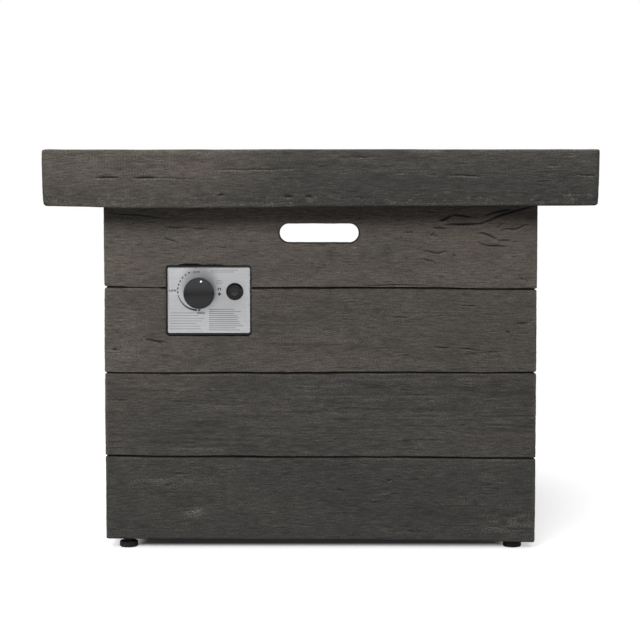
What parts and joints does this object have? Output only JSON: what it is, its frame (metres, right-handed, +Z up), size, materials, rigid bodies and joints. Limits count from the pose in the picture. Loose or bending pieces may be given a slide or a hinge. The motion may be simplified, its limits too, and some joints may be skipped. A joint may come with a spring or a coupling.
{
  "type": "gas fire pit table",
  "caption": "Square gas fire table: cast plank-pattern base and top slab round a steel bowl with a ring burner, a control plate with a gas knob and an igniter, and levelling feet.",
  "frame": {"origin": "on the ground under the table's centre", "axes": "+Z up; the control plate and grip slot face -Y; +X to the right seen from the front"},
  "size_m": [0.813, 0.813, 0.604],
  "materials": {
    "cast_stone": "matt, wood-grain cast, dry-brushed",
    "galvanised_steel": "satin spangled",
    "zinc_fastener": "bright zinc",
    "stainless": "brushed",
    "black_steel": "matt powder coat",
    "brass": "turned",
    "cast_aluminium": "die-cast",
    "copper": "drawn",
    "lava": "rough, porous",
    "ceramic": "glazed",
    "black_abs": "satin moulded",
    "white_paint": "satin",
    "black_rubber": "matt",
    "hose_metal": "corrugated",
    "spring_steel": "bright",
    "battery_sleeve": "gloss wrap"
  },
  "bodies": {
    "root": {"top_slab": "cast_stone", "front_panel": "cast_stone", "rear_panel": "cast_stone", "left_panel": "cast_stone", "right_panel": "cast_stone", "foot_nuts": "zinc_fastener", "panel_bolts": "zinc_fastener", "slab_bolts": "zinc_fastener", "fire_bowl": "stainless", "burner_ring": "stainless", "burner_standoffs": "stainless", "burner_locknut": "brass", "air_mixer": "brass", "gas_jet": "brass", "flare_nuts": "brass", "gas_hose": "hose_metal", "pilot_bracket": "stainless", "electrode_insulator": "ceramic", "spark_electrode": "spring_steel", "flame_sensor": "stainless", "pilot_cage": "stainless", "ignition_lead": "black_rubber", "sensor_lead": "copper", "lava_rocks": "lava", "control_plate": "stainless", "control_tray": "black_steel", "tray_screws": "zinc_fastener", "valve_body": "cast_aluminium", "valve_spring": "spring_steel", "neck_nut": "brass", "magnet_unit": "brass", "sensor_nut": "brass", "inlet_fitting": "brass", "igniter_body": "black_abs", "igniter_nut": "black_abs", "battery": "battery_sleeve", "heat_shield": "galvanised_steel", "shield_screws": "zinc_fastener", "hose_grommet": "black_rubber", "corner_post_front_left": "galvanised_steel", "corner_post_front_right": "galvanised_steel", "corner_post_rear_right": "galvanised_steel", "corner_post_rear_left": "galvanised_steel"},
    "plunger": {"valve_plunger": "spring_steel"},
    "knob": {"control_knob": "black_abs", "knob_pointer": "white_paint", "valve_stem": "brass"},
    "rotor": {"valve_rotor": "brass"},
    "igniter_carrier": {"igniter_contact": "spring_steel", "igniter_spring": "spring_steel"},
    "igniter_cap": {"igniter_cap": "black_abs"},
    "igniter_button": {"igniter_button": "black_abs"},
    "stud_front_left": {"foot_stud_front_left": "zinc_fastener"},
    "foot_front_left": {"foot_pad_front_left": "black_rubber"},
    "stud_front_right": {"foot_stud_front_right": "zinc_fastener"},
    "foot_front_right": {"foot_pad_front_right": "black_rubber"},
    "stud_rear_right": {"foot_stud_rear_right": "zinc_fastener"},
    "foot_rear_right": {"foot_pad_rear_right": "black_rubber"},
    "stud_rear_left": {"foot_stud_rear_left": "zinc_fastener"},
    "foot_rear_left": {"foot_pad_rear_left": "black_rubber"}
  },
  "joints": [
    {"name": "knob_push", "type": "slide", "parent": "root", "child": "plunger", "axis": [0, 1, 0], "range_m": [0, 0.004], "stiffness_N_per_m": 2000, "springref_m": -0.003, "deforming": ["valve_spring"]},
    {"name": "knob_turn", "type": "hinge", "parent": "plunger", "child": "knob", "pos_m": [-0.1816, -0.329, 0.3909], "axis": [0, -1, 0], "range_deg": [0, 180]},
    {"name": "rotor_turn", "type": "hinge", "parent": "root", "child": "rotor", "pos_m": [-0.1816, -0.304, 0.3909], "axis": [0, -1, 0], "range_deg": [0, 180.5]},
    {"name": "cap_travel", "type": "slide", "parent": "root", "child": "igniter_carrier", "axis": [0, -1, 0], "range_m": [0, 0.0081]},
    {"name": "cap_unscrew", "type": "hinge", "parent": "igniter_carrier", "child": "igniter_cap", "pos_m": [-0.129, -0.329, 0.3926], "axis": [0, -1, 0], "range_deg": [0, 1440]},
    {"name": "igniter_press", "type": "slide", "parent": "igniter_cap", "child": "igniter_button", "axis": [0, 1, 0], "range_m": [0, 0.003], "stiffness_N_per_m": 800, "springref_m": -0.003, "deforming": ["igniter_spring"]},
    {"name": "foot_drop_front_left", "type": "slide", "parent": "root", "child": "stud_front_left", "axis": [0, 0, -1], "range_m": [0, 0.0121]},
    {"name": "foot_turn_front_left", "type": "hinge", "parent": "stud_front_left", "child": "foot_front_left", "pos_m": [-0.294, -0.294, 0.008], "axis": [0, 0, -1], "range_deg": [0, 3456]},
    {"name": "foot_drop_front_right", "type": "slide", "parent": "root", "child": "stud_front_right", "axis": [0, 0, -1], "range_m": [0, 0.0121]},
    {"name": "foot_turn_front_right", "type": "hinge", "parent": "stud_front_right", "child": "foot_front_right", "pos_m": [0.294, -0.294, 0.008], "axis": [0, 0, -1], "range_deg": [0, 3456]},
    {"name": "foot_drop_rear_right", "type": "slide", "parent": "root", "child": "stud_rear_right", "axis": [0, 0, -1], "range_m": [0, 0.0121]},
    {"name": "foot_turn_rear_right", "type": "hinge", "parent": "stud_rear_right", "child": "foot_rear_right", "pos_m": [0.294, 0.294, 0.008], "axis": [0, 0, -1], "range_deg": [0, 3456]},
    {"name": "foot_drop_rear_left", "type": "slide", "parent": "root", "child": "stud_rear_left", "axis": [0, 0, -1], "range_m": [0, 0.0121]},
    {"name": "foot_turn_rear_left", "type": "hinge", "parent": "stud_rear_left", "child": "foot_rear_left", "pos_m": [-0.294, 0.294, 0.008], "axis": [0, 0, -1], "range_deg": [0, 3456]}
  ],
  "couplings": [
    {"joint": "rotor_turn", "follows": "knob_turn", "ratio": 1},
    {"joint": "cap_travel", "follows": "cap_unscrew", "m_per_rad": 0.00031831},
    {"joint": "foot_drop_front_left", "follows": "foot_turn_front_left", "m_per_rad": 0.00019894},
    {"joint": "foot_drop_front_right", "follows": "foot_turn_front_right", "m_per_rad": 0.00019894},
    {"joint": "foot_drop_rear_right", "follows": "foot_turn_rear_right", "m_per_rad": 0.00019894},
    {"joint": "foot_drop_rear_left", "follows": "foot_turn_rear_left", "m_per_rad": 0.00019894}
  ]
}
